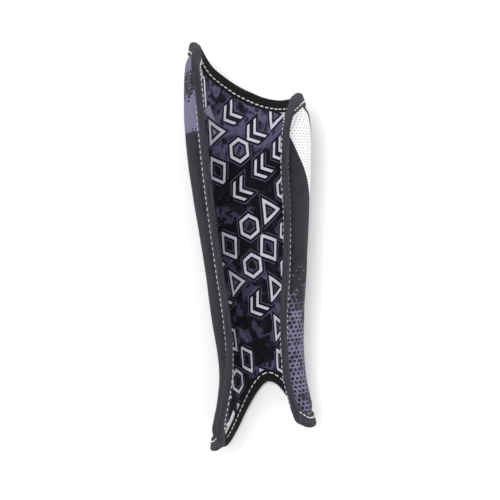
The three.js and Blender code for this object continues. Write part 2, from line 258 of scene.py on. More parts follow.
def shell_points(angle, height, lift):
    """Points of the upright guard, lifted off its outer face; each wing bends outwards beside its rim."""
    angle, height, lift = np.broadcast_arrays(angle, height, lift)
    side = np.where(angle < 0, -1.0, 1.0)
    left, right = reach_at(height, "left"), reach_at(height, "right")
    mean = (left + right) / 2
    reach = np.where(angle < 0, left, right)
    depth = np.where(np.cos(angle) < 0, mean * REAR_DEPTH, mean)
    middle = CALF_FRONT * along(SECTIONS, "height", "front", height / GUARD_HEIGHT) - mean
    out_x, out_y = np.sin(angle) * depth, np.cos(angle) * reach
    rim_x, rim_y = np.cos(angle) * reach * side, -np.sin(angle) * depth * side
    out_size, rim_size = np.hypot(out_x, out_y), np.hypot(rim_x, rim_y)
    to_rim = (wrap_at(height, angle) - np.abs(angle)) * reach
    bent = np.clip(FLAT_EDGE + SEAM_BEND - to_rim, 0, SEAM_BEND)
    beyond = np.clip(FLAT_EDGE - to_rim, 0, None)
    bend = bend_at(height, angle)
    tilt = bend * bent / SEAM_BEND
    radius = SEAM_BEND / bend
    raised = radius * (1 - np.cos(tilt)) + beyond * np.sin(tilt) + lift * np.cos(tilt)
    shifted = radius * np.sin(tilt) - bent + beyond * (np.cos(tilt) - 1) - lift * np.sin(tilt)
    return np.stack([
        reach * np.sin(angle) + raised * out_x / out_size + shifted * rim_x / rim_size,
        middle + depth * np.cos(angle) + raised * out_y / out_size + shifted * rim_y / rim_size,
        height,
    ], axis=-1)


def laid_down(points):
    """Points of the upright guard, moved to where it lies on its front."""
    return points @ np.array(REST_TURN).T + np.array(REST_SHIFT)


def edge_height(across, name):
    """Height of the top or bottom edge before its corners are rounded off."""
    if name == "top":
        return GUARD_HEIGHT - TOP_DROP * along(EDGES, "across", "drop", across)
    return ARCH_RISE * along(EDGES, "across", "rise", across)


def half_length(height, across):
    """Length of the wing on this side, from the front to its rim, measured round."""
    wing = np.where(np.asarray(across) < 0, reach_at(height, "left"), reach_at(height, "right"))
    return wrap_at(height, across) * wing


def rounded_edge(across, name):
    """Height of the top or bottom edge with its corners rounded off."""
    height = edge_height(across, name)
    to_rim = (1 - np.abs(across)) * half_length(height, across)
    t = np.clip(1 - to_rim / CORNER_RADIUS, 0, 1)
    cut = CORNER_RADIUS * (1 - np.sqrt(1 - t * t))
    return height - cut if name == "top" else height + cut


def outline(step):
    """Angle, height, share across and travel at even steps round the rim, and the rim's length."""
    quarter = np.radians(np.linspace(0, 90, 25))

    def corner(side, name):
        height = edge_height(side * 1.0, name)
        share = CORNER_RADIUS / half_length(height, side)
        across = side * (1 - share * (1 - np.sin(quarter)))
        cut = CORNER_RADIUS * (1 - np.cos(quarter))
        edge = edge_height(across, name)
        return across, edge - cut if name == "top" else edge + cut

    def middle(name):
        ends = [1 - CORNER_RADIUS / half_length(edge_height(side * 1.0, name), side) for side in (-1, 1)]
        across = np.linspace(-ends[0], ends[1], 160)[1:-1]
        return across, edge_height(across, name)

    def rim(side):
        low = edge_height(side * 1.0, "bottom") + CORNER_RADIUS
        high = edge_height(side * 1.0, "top") - CORNER_RADIUS
        heights = np.linspace(low, high, 200)[1:-1]
        return np.full_like(heights, side), heights

    def back(run):
        return run[0][::-1], run[1][::-1]

    runs = [back(corner(-1, "bottom")), middle("bottom"), corner(1, "bottom"), rim(1), back(corner(1, "top")),
            back(middle("top")), corner(-1, "top"), back(rim(-1))]
    across = np.concatenate([run[0] for run in runs])
    height = np.concatenate([run[1] for run in runs])
    angle = across * wrap_at(height, across)
    points = shell_points(angle, height, 0.0)
    lengths = np.linalg.norm(np.diff(np.vstack([points, points[:1]]), axis=0), axis=1)
    travel = np.concatenate([[0.0], np.cumsum(lengths)])
    count = round(travel[-1] / step)
    even = np.arange(count) * travel[-1] / count

    def resampled(values):
        return np.interp(even, travel, np.append(values, values[0]))

    return resampled(angle), resampled(height), resampled(across), even, travel[-1]


def unit_noise(values, seed):
    """Smooth random waves of about unit height, the same each run."""
    source = np.random.default_rng(seed)
    total = np.zeros_like(values, float)
    for octave in range(5):
        pace = 2 ** octave * source.uniform(0.8, 1.25)
        phase = source.uniform(0, math.tau)
        total += np.sin(values * pace + phase) / 1.6 ** octave
    return total / 2


def cloth_noise(across, height, seed):
    """Soft unevenness of a padded face, about unit height, over places in metres."""
    source = np.random.default_rng(seed)
    total = np.zeros(np.broadcast(across, height).shape)
    for _ in range(9):
        wavelength = 12 * MM + 30 * MM * source.random()
        way = source.uniform(0, math.tau)
        phase = source.uniform(0, math.tau)
        run = across * math.cos(way) + height * math.sin(way)
        total = total + np.sin(run * math.tau / wavelength + phase)
    return total / 4


def smooth(value, low, high):
    """0 below low, 1 above high and a smooth step between."""
    t = np.clip((value - low) / (high - low), 0, 1)
    return t * t * (3 - 2 * t)


# Meshes

def grid_faces(rows, columns, closed=False):
    """Quads of a grid of points in rows and columns; each row may close on itself."""
    faces = []
    for i in range(rows - 1):
        for j in range(columns if closed else columns - 1):
            a, b = i * columns + j, i * columns + (j + 1) % columns
            faces.append((a, a + columns, b + columns, b))
    return faces


def new_piece(name, points, faces, cloth, finish, replaced=()):
    """A smooth mesh object where the guard lies, riding on the root, with a cloth map in decimetres."""
    mesh = bpy.data.meshes.new(name)
    mesh.from_pydata([tuple(point) for point in laid_down(np.asarray(points))], [], faces)
    layer = mesh.uv_layers.new(name="cloth")
    order = np.empty(len(mesh.loops), dtype=int)
    mesh.loops.foreach_get("vertex_index", order)
    layer.data.foreach_set("uv", (np.asarray(cloth)[order] / (100 * MM)).astype(np.float32).ravel())
    mesh.validate()
    mesh.shade_smooth()
    mesh.materials.append(finish)
    piece = bpy.data.objects.new(name, mesh)
    bpy.context.scene.collection.objects.link(piece)
    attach(piece, "root")
    if replaced:
        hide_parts(*replaced)
    return piece


def crowded(count):
    """Shares from 0 to 1 that stand closer together at both ends."""
    even = np.linspace(0, 1, count)
    return even - END_CROWDING * np.sin(math.tau * even) / math.tau


def layer_grid(columns, rows):
    """Angle, height and the distance round from the front of a grid over the whole guard, by rows."""
    across = crowded(columns)[None, :] * 2 - 1
    up = crowded(rows)[:, None]
    low, high = rounded_edge(across, "bottom"), rounded_edge(across, "top")
    height = low + (high - low) * up
    angle = across * wrap_at(height, across)
    points = shell_points(angle, height, 0.0)
    steps = np.linalg.norm(np.diff(points, axis=1), axis=2)
    travel = np.concatenate([np.zeros((rows, 1)), np.cumsum(steps, axis=1)], axis=1)
    front = np.array([np.interp(0.0, angle[i], travel[i]) for i in range(rows)])
    return angle, height, travel - front[:, None], points


def rim_distance(points, rim):
    """Distance of each point from the nearest point of the rim."""
    flat = points.reshape(-1, 3)
    nearest = np.full(len(flat), np.inf)
    batch = 64
    for start in range(0, len(rim), batch):
        gaps = np.linalg.norm(flat[:, None, :] - rim[None, start:start + batch, :], axis=2)
        nearest = np.minimum(nearest, gaps.min(axis=1))
    return nearest.reshape(points.shape[:2])


def layer_body(outer, inner):
    """Points and faces of a closed layer between two sheets with the same grid."""
    rows, columns = outer.shape[:2]
    count = rows * columns
    sheet = grid_faces(rows, columns)
    faces = sheet + [tuple(count + k for k in reversed(face)) for face in sheet]
    border = [*range(columns - 1),
              *(i * columns + columns - 1 for i in range(rows - 1)),
              *(count - 1 - k for k in range(columns - 1)),
              *((rows - 1 - i) * columns for i in range(rows - 1))]
    for a, b in zip(border, border[1:] + border[:1]):
        faces.append((a, b, count + b, count + a))
    return np.concatenate([outer.reshape(-1, 3), inner.reshape(-1, 3)]), faces


def make_layer(name, finish, outer_lift, inner_lift):
    """One layer of the guard between two lifts, each a function of the rim distance and the cloth place."""
    angle, height, travel, points = layer_grid(LAYER_COLUMNS, LAYER_ROWS)
    rim_angle, rim_height, *_ = outline(RIM_STEP)
    distance = rim_distance(points, shell_points(rim_angle, rim_height, 0.0))
    outer = shell_points(angle, height, outer_lift(distance, travel, height))
    inner = shell_points(angle, height, inner_lift(distance, travel, height))
    cloth = np.stack([travel, height], axis=-1).reshape(-1, 2)
    body, faces = layer_body(outer, inner)
    return new_piece(name, body, faces, np.concatenate([cloth, cloth]), finish, [name])


def face_lift(full, bound, ripple, roughness, seed, outwards):
    """How high a layer's face stands: pressed flat under the tape, puffed and a little uneven beyond it."""
    def lift(distance, travel, height):
        swell = smooth(distance, *PUFF)
        beside = smooth(distance, *PULL_COMES) * (1 - smooth(distance, *PULL_GOES))
        stray = cloth_noise(travel, height, seed + 1) * 1.3
        pull = np.sin(stray + (travel + height) * math.tau / PULL_PITCH)
        bumps = cloth_noise(travel, height, seed) * roughness * swell
        return bound + (full - bound) * swell + outwards * (ripple * beside * pull + bumps)
    return lift


# Finishes

class Wire:
    """An output of a finish's nodes; an expression on wires adds its Math nodes."""

    def __init__(self, finish, socket):
        self.finish = finish
        self.socket = socket

    def math(self, operation, *values):
        return self.finish.node("ShaderNodeMath", {"operation": operation}, dict(enumerate(values)))

    def __add__(self, other):
        return self.math("ADD", self, other)

    def __radd__(self, other):
        return self.math("ADD", other, self)

    def __sub__(self, other):
        return self.math("SUBTRACT", self, other)

    def __rsub__(self, other):
        return self.math("SUBTRACT", other, self)

    def __mul__(self, other):
        return self.math("MULTIPLY", self, other)

    def __rmul__(self, other):
        return self.math("MULTIPLY", other, self)

    def __truediv__(self, other):
        return self.math("DIVIDE", self, other)

    def __neg__(self):
        return self.math("MULTIPLY", self, -1.0)

    def __abs__(self):
        return self.math("ABSOLUTE", self)

    def __lt__(self, other):
        return self.math("LESS_THAN", self, other)

    def __gt__(self, other):
        return self.math("GREATER_THAN", self, other)

    def __or__(self, other):
        return self.math("MAXIMUM", self, other)

    def __and__(self, other):
        return self.math("MINIMUM", self, other)

    def floor(self):
        return self.math("FLOOR", self)

    def sine(self):
        return self.math("SINE", self)

    def root(self):
        return self.math("SQRT", self)

    def ease(self, low, high):
        """0 below low, 1 above high and a smooth step between."""
        return self.finish.node("ShaderNodeMapRange", {"interpolation_type": "SMOOTHSTEP"},
                                {"Value": self, "From Min": low, "From Max": high})


class Finish:
    """A material that is written in code."""

    def __init__(self, name):
        self.material = bpy.data.materials.new(name)
        self.material.use_nodes = True
        self.nodes = self.material.node_tree.nodes
        self.links = self.material.node_tree.links
        self.nodes.clear()

    def node(self, kind, settings=None, sockets=None, out=0):
        """Any node: its settings are set first, then the values and links of its sockets."""
        made = self.nodes.new(kind)
        for name, value in (settings or {}).items():
            if name == "stops":
                ramp = made.color_ramp
                ramp.interpolation = value[0]
                for k, (place, colour) in enumerate(value[1:]):
                    stop = ramp.elements[k] if k < len(ramp.elements) else ramp.elements.new(place)
                    stop.position = place
                    stop.color = (*colour, 1)
            else:
                setattr(made, name, value)
        for key, value in (sockets or {}).items():
            if isinstance(value, Wire):
                self.links.new(value.socket, made.inputs[key])
            else:
                made.inputs[key].default_value = value
        return Wire(self, made.outputs[out]) if made.outputs else None

    def cloth(self):
        """The cloth map's two directions, in millimetres."""
        place = self.node("ShaderNodeUVMap", {"uv_map": "cloth"})
        split = self.node("ShaderNodeSeparateXYZ", None, {0: place})
        return split * 100.0, Wire(self, split.socket.node.outputs[1]) * 100.0

    def spot(self, x, y):
        return self.node("ShaderNodeCombineXYZ", None, {0: x, 1: y})

    def noise(self, x, y, size, detail=2.0, roughness=0.5):
        """Soft noise between 0 and 1 with blotches of about this size in millimetres."""
        return self.node("ShaderNodeTexNoise", {"noise_dimensions": "2D"},
                         {"Vector": self.spot(x / size, y / size), "Scale": 1.0, "Detail": detail,
                          "Roughness": roughness})

    def cells(self, x, y):
        """A number between 0 and 1 that is the same over each cell of a random mosaic."""
        colour = self.node("ShaderNodeTexVoronoi", {"voronoi_dimensions": "2D"},
                           {"Vector": self.spot(x, y), "Scale": 1.0}, 1)
        return self.node("ShaderNodeSeparateColor", None, {0: colour})

    def blend(self, mask, below, above):
        """One colour over another where the mask is 1."""
        values = {0: mask}
        for key, colour in ((6, below), (7, above)):
            values[key] = colour if isinstance(colour, Wire) else (*colour, 1)
        return self.node("ShaderNodeMix", {"data_type": "RGBA"}, values, 2)

    def close(self, colour, roughness, relief, relief_height, sheen):
        """Ends the finish in a fabric surface."""
        bump = self.node("ShaderNodeBump", None, {
            "Strength": 1.0, "Distance": relief_height, "Height": relief})
        shader = self.node("ShaderNodeBsdfPrincipled", None, {
            "Base Color": colour, "Roughness": roughness, "Normal": bump,
            "Sheen Weight": sheen, "Sheen Roughness": 0.5, "Specular IOR Level": 0.15})
        self.node("ShaderNodeOutputMaterial", None, {"Surface": shader})
        return self.material


def turned(x, y, degrees):
    """Cloth directions turned by an angle."""
    c, s = math.cos(math.radians(degrees)), math.sin(math.radians(degrees))
    return x * c + y * s, y * c - x * s


def lattice(x, y, pitch_x, pitch_y, stagger=0.5):
    """Place inside each cell of a staggered lattice, from its middle, and the cell's row and column."""
    row = (y / pitch_y).floor()
    shifted = x / pitch_x + row * stagger
    column = shifted.floor()
    return (shifted - column - 0.5) * pitch_x, (y / pitch_y - row - 0.5) * pitch_y, row, column


def shard_tone(finish, x, y):
    """Tone of an angular mosaic between 0 and 1, with small splinters in large pieces."""
    a, b = turned(x, y, 32)
    large = finish.cells(a / 26.0, b / 12.0)
    c, d = turned(x, y, -48)
    middle = finish.cells(c / 15.0, d / 6.5)
    e, f = turned(x, y, 8)
    small = finish.cells(e / 6.0, f / 3.6)
    return large * 0.46 + middle * 0.34 + small * 0.20


def chance(finish, row, column):
    """A random number between 0 and 1 for each cell of a lattice."""
    return finish.node("ShaderNodeTexWhiteNoise", {"noise_dimensions": "2D"},
                       {"Vector": finish.spot(row, column)})


def motif_distance(finish, x, y):
    """Distance outside the strokes of the lining's four outlined figures, in millimetres."""
    p, q = turned(x, y, 34)
    lx, ly, row, column = lattice(p, q, 23.5, 26.5, 0.38)
    pick = chance(finish, row, column)
    lx = lx + (chance(finish, row + 31.0, column) - 0.5) * 5.0
    ly = ly + (chance(finish, row, column + 47.0) - 0.5) * 4.0
    half_stroke = 1.2
    hexagon = abs((abs(lx) * 0.866 + abs(ly) * 0.5 | abs(ly)) - 7.6) - half_stroke
    arrow_line = (lx - abs(ly) * 0.8) * 0.78
    arrows = (abs(abs(arrow_line + 3.2) - 3.0) - 1.1) | (abs(ly) - 8.6)
    diamond = abs((abs(lx) + abs(ly) * 0.8) * 0.78 - 7.2) - half_stroke
    rise = ly + 1.8
    triangle = abs((abs(lx) * 0.866 + rise * 0.5 | -rise) - 4.9) - half_stroke
    kinds = ((hexagon, 0.0, 0.25), (arrows, 0.25, 0.48), (diamond, 0.48, 0.70), (triangle, 0.70, 0.92))
    # The cells left over stay empty, far from any stroke
    total = (pick > 0.92) * 20.0
    for figure, low, high in kinds:
        total = total + figure * ((pick > low) & (pick < high))
    return total


def strip(x, y, start, end, half_width):
    """Mask of a straight strip between two places of the cloth, in millimetres."""
    length = math.dist(start, end)
    way_x, way_y = (end[0] - start[0]) / length, (end[1] - start[1]) / length
    run = (x - start[0]) * way_x + (y - start[1]) * way_y
    off = (y - start[1]) * way_x - (x - start[0]) * way_y
    return (abs(off) < half_width) & (abs(run - length / 2) < length / 2)


def lining_finish(colours):
    """Brushed lining printed with angular shards and light outlined figures."""
    finish = Finish("printed_lining")
    x, y = finish.cloth()
    pale_zone = y.ease(221.0, 232.0) * (1.0 - y.ease(286.0, 296.0))
    dark_zone = y.ease(178.0, 192.0) * (1.0 - y.ease(221.0, 232.0))
    low_zone = 1.0 - y.ease(60.0, 90.0)
    tone = shard_tone(finish, x, y) + pale_zone * 0.27 - dark_zone * 0.20 - low_zone * 0.07
    stops = ((0.0, colours.black), (0.39, colours.navy), (0.54, colours.purple),
             (0.71, scaled(colours.lavender, 0.8)))
    ground = finish.node("ShaderNodeValToRGB", {"stops": ("CONSTANT", *stops)}, {0: tone})
    a, b = turned(x, y, -25)
    flecks = finish.cells(a / 3.4 + 60.0, b / 6.0)
    flecked = finish.blend((flecks > 0.80) * 0.8, ground, colours.black)
    # A lighter slab below the long wing's calf peak
    slab = strip(x, y, (-48.0, 262.0), (-36.0, 241.0), 3.6)
    slabbed = finish.blend(slab, flecked, colours.lavender)
    lightened = finish.blend(slab * 0.28, slabbed, colours.motif)
    away = motif_distance(finish, x, y)
    shadow = away < 2.0
    contour = abs(away - 2.2) < 0.34
    stroke = away < 0.0
    # Real wear: the print's strokes are rubbed thin at random
    wear_and_highlight = finish.noise(x, y, 9.0) * 0.2
    dark = finish.blend(shadow * 0.9, lightened, colours.black)
    lined = finish.blend(contour * 0.75, dark, colours.lavender)
    printed = finish.blend(stroke * (1.0 - wear_and_highlight), lined, colours.motif)
    # Pale slivers beside the long wing's tape, above and at the flap
    slivers = (strip(x, y, (-53.0, 286.0), (-49.5, 262.0), 0.9)
               | strip(x, y, (-50.0, 26.0), (-66.0, 3.0), 2.6))
    slivered = finish.blend(slivers, printed, colours.white)
    weave = (x * (math.tau / 0.9)).sine() * (y * (math.tau / 0.9)).sine()
    fuzz = finish.noise(x, y, 0.7, 3.0, 0.7)
    toned = finish.blend(fuzz.ease(0.3, 0.75) * 0.16, slivered, colours.black)
    return finish.close(toned, 0.72 + fuzz * 0.2, weave * 0.5 + fuzz, 0.12 * MM, 0.05)


def square_dots(x, y, pitch_x, pitch_y, size):
    """Mask of square dots whose share of their cell may vary."""
    lx, ly, _, _ = lattice(x, y, pitch_x, pitch_y)
    return (abs(lx) / pitch_x | abs(ly) / pitch_y) < size * 0.5


def round_dots(x, y, pitch, radius):
    """Mask of round dots on a staggered lattice."""
    lx, ly, _, _ = lattice(x, y, pitch, pitch * 0.866)
    return (lx * lx + ly * ly).root() < radius


def cover_finish(colours):
    """Knit cover printed in graphite, lavender and white, with halftone squares between them."""
    finish = Finish("printed_knit")
    x, y = finish.cloth()
    rough = finish.noise(x, y, 6.0) - 0.5
    shard = shard_tone(finish, x + 200.0, y + 60.0)
    ground = finish.blend((shard > 0.62) * 0.6, colours.graphite, colours.navy)
    knit = round_dots(x, y, 1.7, 0.42)
    pale = finish.blend(knit * 0.35, colours.lavender, colours.motif)
    # The long wing's calf: lavender with a patch of dark squares, which break up its lower edge too
    calf = (-x).ease(38.0, 40.0) * (y > 236.0)
    ragged = y + rough * 14.0
    patch = ragged.ease(263.0, 268.0) * (1.0 - ragged.ease(284.0, 289.0)) * (1.0 - (-x).ease(104.0, 112.0))
    fringe = 1.0 - y.ease(236.0, 246.0)
    calf_squares = square_dots(x, y, 4.2, 2.7, (patch * 0.95 | fringe * 1.1) + rough * 1.0)
    with_calf = finish.blend(calf * (1.0 - calf_squares), ground, pale)
    # The short wing's ankle: lavender under dark squares that grow towards the knee and the ankle's tip
    drift = finish.noise(x, y, 15.0) - 0.5
    towards_knee = y.ease(84.0, 124.0) * 0.38
    towards_tip = (1.0 - y.ease(58.0, 82.0)) * 0.12 + (1.0 - y.ease(12.0, 36.0)) * 0.25
    size = 0.62 + towards_knee + towards_tip + rough * 0.9 + drift * 0.9
    ankle_squares = square_dots(x, y, 5.0, 3.2, size)
    ankle = x.ease(38.0, 40.0) * (y < 124.0) * (1.0 - ankle_squares)
    with_ankle = finish.blend(ankle, with_calf, pale)
    above = (abs(x - 82.0) < 8.0) * (abs(y - 131.0) < 5.0) * (rough > 0.0)
    specks = square_dots(x, y, 5.0, 3.2, 0.45) * above
    specked = finish.blend(specks * 0.7, with_ankle, colours.lavender)
    # White leaf at the short wing's calf, pierced beside the tape
    leaf = (y > x * 1.2 + 101.0) * (x > y * 0.37 - 10.5)
    holes = round_dots(x * 0.6, y, 2.4, 0.58) * (x + rough * 6.0).ease(74.0, 80.0)
    panel = finish.blend(holes * 0.42, colours.white, colours.purple)
    printed = finish.blend(leaf, specked, panel)
    weave = (x * (math.tau / 1.3)).sine() * (y * (math.tau / 1.3)).sine()
    fuzz = finish.noise(x, y, 0.8, 3.0, 0.7)
    grain = (weave.ease(0.2, 0.9) | fuzz.ease(0.5, 0.9)) * (0.18 - leaf * 0.14)
    toned = finish.blend(grain, printed, colours.black)
    return finish.close(toned, 0.70 + fuzz * 0.2, weave + fuzz * 0.6 - holes * leaf, 0.2 * MM, 0.04)


def tape_finish(name, colour, light):
    """Stretch tape woven in fine ribs along its length, with a painted highlight on the rib crests; its cloth
    map runs along the rim, then across.
    """
    finish = Finish(name)
    x, y = finish.cloth()
    ribs = (y * (math.tau / 1.05)).sine()
    cords = (x * (math.tau / 0.8) + (y * (math.tau / 1.05)).sine() * 1.5).sine()
    streak = finish.noise(x, y * 26.0, 26.0, 3.0, 0.6)
    fuzz = finish.noise(x, y, 0.6, 3.0, 0.7)
    base = finish.blend(streak.ease(0.32, 0.68), scaled(colour, 0.45), colour)
    # Painted highlight: the rib crests are lightened towards a lighter copy of the tape's colour, as if
    # catching the light; the fuzz adds lighter tone at random
    wear_and_highlight = ribs.ease(0.1, 1.0) * 0.4 + fuzz.ease(0.5, 0.8) * 0.25
    raised = finish.blend(wear_and_highlight, base, scaled(colour, light))
    return finish.close(raised, 0.66 + fuzz * 0.2, ribs + cords * 0.35 + fuzz * 0.5, 0.14 * MM, 0.05)


def thread_finish(colours):
    """Twisted sewing thread; its cloth map runs along each stitch, then round it."""
    finish = Finish("white_thread")
    x, y = finish.cloth()
    ply = (x * (math.tau / 0.9) + y * (math.tau / 1.3)).sine()
    fuzz = finish.noise(x, y, 0.4)
    # Painted shade: the thread is darker in the grooves between its plies
    colour = finish.blend(ply.ease(-0.9, 0.2) * 0.8 + 0.2, scaled(colours.thread, 0.84), colours.thread)
    return finish.close(colour, 0.6 + fuzz * 0.2, ply + fuzz * 0.3, 0.1 * MM, 0.15)


# Pieces

def sizes():
    return bpy.context.scene.shin_guard_sizes


def colours():
    return bpy.context.scene.shin_guard_colours


class RimFrame:
    """Stations round the rim, each with its way inwards over the guard's face."""

    def __init__(self, step):
        self.angle, self.height, self.across, self.travel, self.length = outline(step)
        tiny = 1e-4
        here = shell_points(self.angle, self.height, 0.0)
        beside = shell_points(self.angle + tiny, self.height, 0.0)
        self.per_radian = np.linalg.norm(beside - here, axis=1) / tiny
        run_round = (np.roll(self.angle, -1) - np.roll(self.angle, 1)) * self.per_radian
        run_up = np.roll(self.height, -1) - np.roll(self.height, 1)
        size = np.hypot(run_round, run_up)
        self.inward_angle = -run_up / size / self.per_radian
        self.inward_height = run_round / size

    def travel_over(self, picked):
        """Distance along the rim at the given stations, which grows on past the rim's start."""
        travel = self.travel[picked]
        return np.where(travel < travel[0] - MM, travel + self.length, travel)

    def points(self, picked, inset, rise):
        """Points of the given stations, one column for each inset and rise."""
        inset, rise = np.atleast_2d(inset), np.atleast_2d(rise)
        angle = self.angle[picked, None] + self.inward_angle[picked, None] * inset
        height = self.height[picked, None] + self.inward_height[picked, None] * inset
        return shell_points(angle, height, SEAM_MIDDLE + rise)

    def station_at(self, across, name):
        """The station of the top or bottom edge nearest to a share across."""
        upper = self.height > GUARD_HEIGHT / 2
        on_edge = upper if name == "top" else ~upper
        gap = np.where(on_edge & (np.abs(self.across) < 0.98), np.abs(self.across - across), np.inf)
        return int(np.argmin(gap))

    def stretch(self, first, last):
        """Stations from the first to the last one, going round."""
        count = (last - first) % len(self.angle)
        return (first + np.arange(count + 1)) % len(self.angle)


def tape_profile():
    """Inset and rise of points round the tape's section, and which of them show outside."""
    trim = sizes()
    inside = BOUND_WALL / 2 + TAPE_SLACK
    outside = inside + trim.tape_thick
    leg, seam = trim.tape_leg, trim.stitch_inset
    leg_places = np.array([leg, leg - 0.12 * MM, leg - 0.45 * MM, leg - 1.0 * MM, seam + 0.7 * MM,
                           seam + 0.25 * MM, seam - 0.25 * MM, seam - 0.7 * MM, seam - 1.3 * MM,
                           seam - 2.4 * MM, seam - 3.6 * MM, 1.2 * MM])
    edge_round = np.array([0.45, 0.75, 0.95, 1.0, 0.97, 0.82, 0.82, 0.97, 1.0, 1.03, 1.05, 1.03])
    outer_rise = inside + (outside - inside) * edge_round
    bend = np.radians(np.linspace(90, -90, 13))
    fold_place = 0.6 * MM - (TAPE_FOLD + 0.6 * MM) * np.abs(np.cos(bend)) ** 0.8
    fold_rise = outside * np.sign(np.sin(bend)) * np.abs(np.sin(bend)) ** 0.75
    hidden = np.array([leg, leg * 0.5, 0.0, -0.3 * MM])
    inset = np.concatenate([leg_places, fold_place, leg_places[::-1], hidden, hidden[::-1]])
    rise = np.concatenate([outer_rise, fold_rise, -outer_rise[::-1],
                           np.full_like(hidden, -inside), np.full_like(hidden, inside)])
    shows = np.arange(len(inset)) < len(inset) - 2 * len(hidden)
    return inset, rise, shows


def make_tape(name, rim, picked, finish):
    """One length of binding tape, folded over the rim, gathered a little by its stitches."""
    trim = sizes()
    inset, rise, shows = tape_profile()
    travel = rim.travel_over(picked)
    near_seam = np.exp(-((inset - trim.stitch_inset) / TAPE_GATHER_REACH) ** 2)
    pull = np.cos(travel * math.tau / trim.stitch_pitch)[:, None]
    waver = unit_noise(travel / (14 * MM), 11)[:, None]
    swell = unit_noise(travel / (9 * MM), 12)[:, None]
    moved_inset = inset + waver * TAPE_WAVER * (inset / trim.tape_leg).clip(0, 1)
    moved_rise = rise + np.sign(rise) * shows * (pull * near_seam * TAPE_GATHER + swell * TAPE_SWELL)
    points = rim.points(picked, moved_inset, moved_rise)
    rows, columns = points.shape[:2]
    faces = [tuple(reversed(face)) for face in grid_faces(rows, columns, closed=True)]
    faces.append(tuple(range(columns)))
    faces.append(tuple((rows - 1) * columns + k for k in reversed(range(columns))))
    section = np.stack([inset, rise], axis=-1)
    width = np.concatenate([[0.0], np.cumsum(np.linalg.norm(np.diff(section, axis=0), axis=1))])
    cloth = np.stack(np.broadcast_arrays(travel[:, None], width[None, :]), axis=-1).reshape(-1, 2)
    return new_piece(name, points.reshape(-1, 3), faces, cloth, finish, [name])


def make_stitches(name, rim, picked, face_sign, finish):
    """Separate stitches along one face of a tape, each a short arched thread that dips in at both ends."""
    trim = sizes()
    travel = rim.travel_over(picked)
    start = travel[0] + trim.stitch_pitch * 0.6
    count = int((travel[-1] - start) / trim.stitch_pitch)
    top = BOUND_WALL / 2 + TAPE_SLACK + trim.tape_thick
    rings, sides = STITCH_RINGS, STITCH_SIDES
    along_stitch = np.linspace(-1, 1, rings)
    turn = np.linspace(0, math.tau, sides, endpoint=False)
    half_width = trim.thread_width / 2
    taper = np.sqrt(np.clip(1 - np.abs(along_stitch) ** 3.5, 0.03, 1))[:, None]
    arch = (STITCH_ARCH - STITCH_DIP * np.abs(along_stitch) ** 3)[:, None]
    rise = face_sign * (top * STITCH_SEAT + arch + half_width * STITCH_FLATNESS * taper * np.sin(turn))
    quads = grid_faces(rings, sides, closed=True)
    quads += [tuple(reversed(range(sides))), tuple((rings - 1) * sides + s for s in range(sides))]
    if face_sign > 0:
        quads = [tuple(reversed(face)) for face in quads]
    all_points, all_faces, all_cloth = [], [], []
    source = np.random.default_rng(5)
    for k in range(count):
        jitter = source.normal(0, STITCH_JITTER, 3)
        centre = start + (k + 0.5) * trim.stitch_pitch + jitter[0]
        places = centre + along_stitch * (trim.stitch_length / 2 + jitter[1])
        seam = trim.stitch_inset + along_stitch * STITCH_SLANT + jitter[2] * 0.5
        inset = seam[:, None] + half_width * taper * np.cos(turn)
        station = np.interp(places, travel, np.arange(len(picked)))
        low = np.floor(station).astype(int).clip(0, len(picked) - 2)
        share = (station - low)[:, None]
        ring = np.concatenate([
            (rim.points(picked[[low[r]]], inset[r], rise[r]) * (1 - share[r])
             + rim.points(picked[[low[r] + 1]], inset[r], rise[r]) * share[r]) for r in range(rings)])
        base = k * rings * sides
        all_faces += [tuple(base + v for v in face) for face in quads]
        all_points.append(ring.reshape(-1, 3))
        cloth = np.broadcast_arrays(places[:, None], turn[None, :] * half_width)
        all_cloth.append(np.stack(cloth, axis=-1).reshape(-1, 2))
    points, cloth = np.concatenate(all_points), np.concatenate(all_cloth)
    return new_piece(name, points, all_faces, cloth, finish)


def tape_stretches(rim):
    """The rim's stations under each tape, by the tape's node."""
    top = [rim.station_at(share, "top") for share in TOP_TAPE_ENDS]
    instep = [rim.station_at(share, "bottom") for share in INSTEP_TAPE_ENDS]
    return {
        "side_binding_left": rim.stretch(top[0], instep[0]),
        "side_binding_right": rim.stretch(instep[1], top[1]),
        "top_binding": rim.stretch(top[1], top[0]),
        "instep_binding": rim.stretch(instep[0], instep[1]),
    }


def tape_slot(name):
    """The side tapes take the lighter copy of the one dark tape as painted light, the top and the instep tape
    the darker copy as painted shade.
    """
    return "charcoal_tape" if name.startswith("side") else "black_tape"


class SHINGUARD_OT_cover(bpy.types.Operator):
    """Make the printed knit cover over the shell and foam"""
    bl_idname = "shinguard.cover"
    bl_label = "Outer cover"

    def execute(self, context):
        piece = make_layer(
            "outer_cover", cover_finish(colours()),
            face_lift(0.0, BOUND_TOP, 0.10 * MM, 0.10 * MM, 21, 1),
            face_lift(-COVER_THICK, BOUND_TOP - COVER_PRESSED, 0.0, 0.0, 22, 1))
        return {"FINISHED"}


class SHINGUARD_OT_lining(bpy.types.Operator):
    """Make the padded printed lining against the leg"""
    bl_idname = "shinguard.lining"
    bl_label = "Lining"

    def execute(self, context):
        piece = make_layer(
            "lining", lining_finish(colours()),
            face_lift(-COVER_THICK - LAYER_GAP, BOUND_TOP - COVER_PRESSED - LAYER_GAP, 0.0, 0.0, 31, 1),
            face_lift(-WALL, BOUND_TOP - BOUND_WALL, 0.16 * MM, 0.14 * MM, 32, -1))
        return {"FINISHED"}


